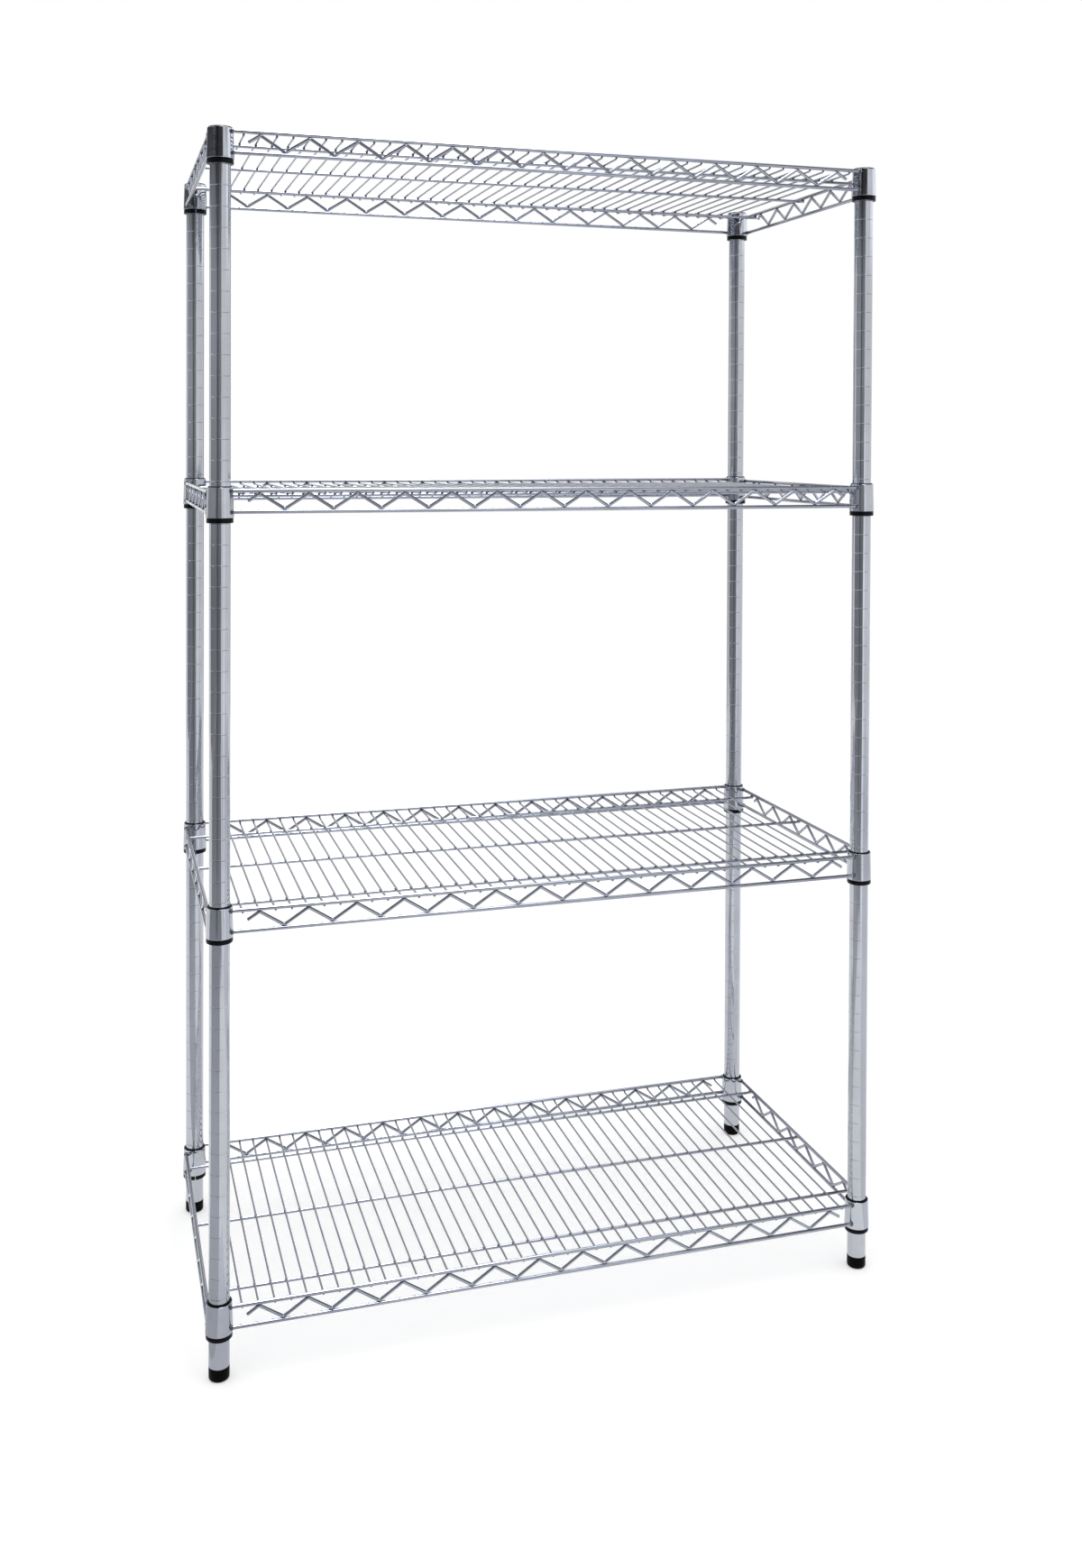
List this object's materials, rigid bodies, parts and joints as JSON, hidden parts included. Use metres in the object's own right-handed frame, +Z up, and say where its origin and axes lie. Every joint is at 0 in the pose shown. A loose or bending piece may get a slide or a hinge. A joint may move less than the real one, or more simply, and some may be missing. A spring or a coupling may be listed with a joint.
{
  "type": "wire shelving unit",
  "caption": "Free-standing wire shelving unit: grooved round posts carry welded wire shelves on tapered split sleeves, with post caps and screw levelling feet.",
  "frame": {"origin": "on the floor, under the middle of the unit", "axes": "+X to the right along the shelves, +Y from front to back, +Z up the posts"},
  "size_m": [0.9016, 0.4496, 1.518],
  "materials": {
    "chromed_tube": "polished",
    "chromed_wire": "polished",
    "black_sleeve_plastic": "satin",
    "black_cap_plastic": "satin",
    "black_foot_plastic": "matte",
    "zinc_plated_insert": "satin"
  },
  "bodies": {
    "posts": {"post_front_left": "chromed_tube", "post_cap_front_left": "black_cap_plastic", "foot_insert_front_left": "zinc_plated_insert", "sleeve_1_front_left": "black_sleeve_plastic", "sleeve_2_front_left": "black_sleeve_plastic", "sleeve_3_front_left": "black_sleeve_plastic", "sleeve_4_front_left": "black_sleeve_plastic", "post_front_right": "chromed_tube", "post_cap_front_right": "black_cap_plastic", "foot_insert_front_right": "zinc_plated_insert", "sleeve_1_front_right": "black_sleeve_plastic", "sleeve_2_front_right": "black_sleeve_plastic", "sleeve_3_front_right": "black_sleeve_plastic", "sleeve_4_front_right": "black_sleeve_plastic", "post_back_left": "chromed_tube", "post_cap_back_left": "black_cap_plastic", "foot_insert_back_left": "zinc_plated_insert", "sleeve_1_back_left": "black_sleeve_plastic", "sleeve_2_back_left": "black_sleeve_plastic", "sleeve_3_back_left": "black_sleeve_plastic", "sleeve_4_back_left": "black_sleeve_plastic", "post_back_right": "chromed_tube", "post_cap_back_right": "black_cap_plastic", "foot_insert_back_right": "zinc_plated_insert", "sleeve_1_back_right": "black_sleeve_plastic", "sleeve_2_back_right": "black_sleeve_plastic", "sleeve_3_back_right": "black_sleeve_plastic", "sleeve_4_back_right": "black_sleeve_plastic"},
    "shelf_1": {"shelf_1_left_end_frame": "chromed_wire", "shelf_1_right_end_frame": "chromed_wire", "shelf_1_front_truss": "chromed_wire", "shelf_1_back_truss": "chromed_wire", "shelf_1_wire_mat": "chromed_wire", "shelf_1_front_support": "chromed_wire", "shelf_1_back_support": "chromed_wire"},
    "shelf_2": {"shelf_2_left_end_frame": "chromed_wire", "shelf_2_right_end_frame": "chromed_wire", "shelf_2_front_truss": "chromed_wire", "shelf_2_back_truss": "chromed_wire", "shelf_2_wire_mat": "chromed_wire", "shelf_2_front_support": "chromed_wire", "shelf_2_back_support": "chromed_wire"},
    "shelf_3": {"shelf_3_left_end_frame": "chromed_wire", "shelf_3_right_end_frame": "chromed_wire", "shelf_3_front_truss": "chromed_wire", "shelf_3_back_truss": "chromed_wire", "shelf_3_wire_mat": "chromed_wire", "shelf_3_front_support": "chromed_wire", "shelf_3_back_support": "chromed_wire"},
    "shelf_4": {"shelf_4_left_end_frame": "chromed_wire", "shelf_4_right_end_frame": "chromed_wire", "shelf_4_front_truss": "chromed_wire", "shelf_4_back_truss": "chromed_wire", "shelf_4_wire_mat": "chromed_wire", "shelf_4_front_support": "chromed_wire", "shelf_4_back_support": "chromed_wire"},
    "foot_front_left": {"levelling_foot_front_left": "black_foot_plastic"},
    "foot_front_right": {"levelling_foot_front_right": "black_foot_plastic"},
    "foot_back_left": {"levelling_foot_back_left": "black_foot_plastic"},
    "foot_back_right": {"levelling_foot_back_right": "black_foot_plastic"}
  },
  "joints": [
    {"name": "shelf_1_lift", "type": "slide", "parent": "posts", "child": "shelf_1", "axis": [0, 0, 1], "range_m": [0, 0.437]},
    {"name": "shelf_2_lift", "type": "slide", "parent": "posts", "child": "shelf_2", "axis": [0, 0, 1], "range_m": [0, 0.462]},
    {"name": "shelf_3_lift", "type": "slide", "parent": "posts", "child": "shelf_3", "axis": [0, 0, 1], "range_m": [0, 0.386]},
    {"name": "shelf_4_lift", "type": "slide", "parent": "posts", "child": "shelf_4", "axis": [0, 0, 1], "range_m": [0, 0.05]},
    {"name": "foot_front_left_level", "type": "slide", "parent": "posts", "child": "foot_front_left", "axis": [0, 0, -1], "range_m": [0, 0.012]},
    {"name": "foot_front_right_level", "type": "slide", "parent": "posts", "child": "foot_front_right", "axis": [0, 0, -1], "range_m": [0, 0.012]},
    {"name": "foot_back_left_level", "type": "slide", "parent": "posts", "child": "foot_back_left", "axis": [0, 0, -1], "range_m": [0, 0.012]},
    {"name": "foot_back_right_level", "type": "slide", "parent": "posts", "child": "foot_back_right", "axis": [0, 0, -1], "range_m": [0, 0.012]}
  ]
}
